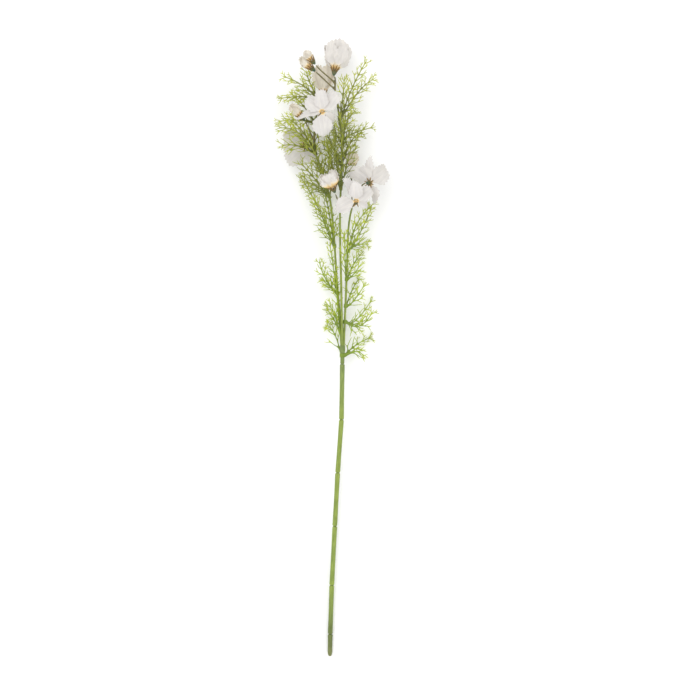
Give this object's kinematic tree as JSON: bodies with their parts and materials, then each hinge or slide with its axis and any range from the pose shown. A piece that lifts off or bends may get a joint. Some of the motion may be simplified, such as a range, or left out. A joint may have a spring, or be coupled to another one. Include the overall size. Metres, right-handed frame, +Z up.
{
  "type": "artificial cosmos spray",
  "caption": "Artificial cosmos spray: a jointed plastic stem that forks into branches with feathery foliage, white fabric flowers and buds, lying down.",
  "frame": {"origin": "centre of the spray's footprint, on the surface it lies on", "axes": "+Y from the cut end of the stem towards the flowers, +Z up from the surface"},
  "size_m": [0.1259, 0.701, 0.0719],
  "materials": {
    "stem_plastic": "satin",
    "branch_plastic": "satin",
    "foliage_plastic": "matte",
    "stalk_plastic": "matte",
    "calyx_plastic": "matte",
    "centre_plastic": "matte",
    "petal_fabric": "matte",
    "steel_wire": "drawn"
  },
  "bodies": {
    "root": {"stem_wire": "steel_wire", "stem_sleeve_1": "stem_plastic", "stem_sleeve_2": "stem_plastic", "stem_sleeve_3": "stem_plastic", "stem_sleeve_4": "stem_plastic", "stem_sleeve_5": "stem_plastic", "stem_sleeve_6": "stem_plastic", "branch_collar": "stem_plastic", "branch_left": "branch_plastic", "branch_middle": "branch_plastic", "branch_right": "branch_plastic", "foliage_collar": "foliage_plastic", "foliage_left_1": "foliage_plastic", "foliage_left_2": "foliage_plastic", "foliage_left_3": "foliage_plastic", "foliage_left_4": "foliage_plastic", "foliage_left_5": "foliage_plastic", "foliage_left_6": "foliage_plastic", "foliage_left_7": "foliage_plastic", "foliage_middle_1": "foliage_plastic", "foliage_middle_2": "foliage_plastic", "foliage_middle_3": "foliage_plastic", "foliage_middle_4": "foliage_plastic", "foliage_right_1": "foliage_plastic", "foliage_right_2": "foliage_plastic", "foliage_right_3": "foliage_plastic", "foliage_right_4": "foliage_plastic", "stalk_top": "stalk_plastic", "stalk_upper_left": "stalk_plastic", "stalk_lower_left": "stalk_plastic", "stalk_behind": "stalk_plastic", "stalk_right": "stalk_plastic", "stalk_bud": "stalk_plastic", "calyx_front": "calyx_plastic", "petals_front": "petal_fabric", "calyx_lower_left": "calyx_plastic", "petals_lower_left": "petal_fabric", "calyx_far_right": "calyx_plastic", "petals_far_right": "petal_fabric", "calyx_near_right": "calyx_plastic", "petals_near_right": "petal_fabric", "calyx_top": "calyx_plastic", "petals_top": "petal_fabric", "calyx_behind": "calyx_plastic", "petals_behind": "petal_fabric", "calyx_bud_high": "calyx_plastic", "petals_bud_high": "petal_fabric", "calyx_bud_low": "calyx_plastic", "petals_bud_low": "petal_fabric", "calyx_bud_left": "calyx_plastic", "petals_bud_left": "petal_fabric", "calyx_bud_right": "calyx_plastic", "petals_bud_right": "petal_fabric", "calyx_bud_front": "calyx_plastic", "petals_bud_front": "petal_fabric", "centre_front": "centre_plastic", "centre_lower_left": "centre_plastic", "centre_far_right": "centre_plastic", "centre_near_right": "centre_plastic", "centre_top": "centre_plastic"}
  },
  "joints": []
}
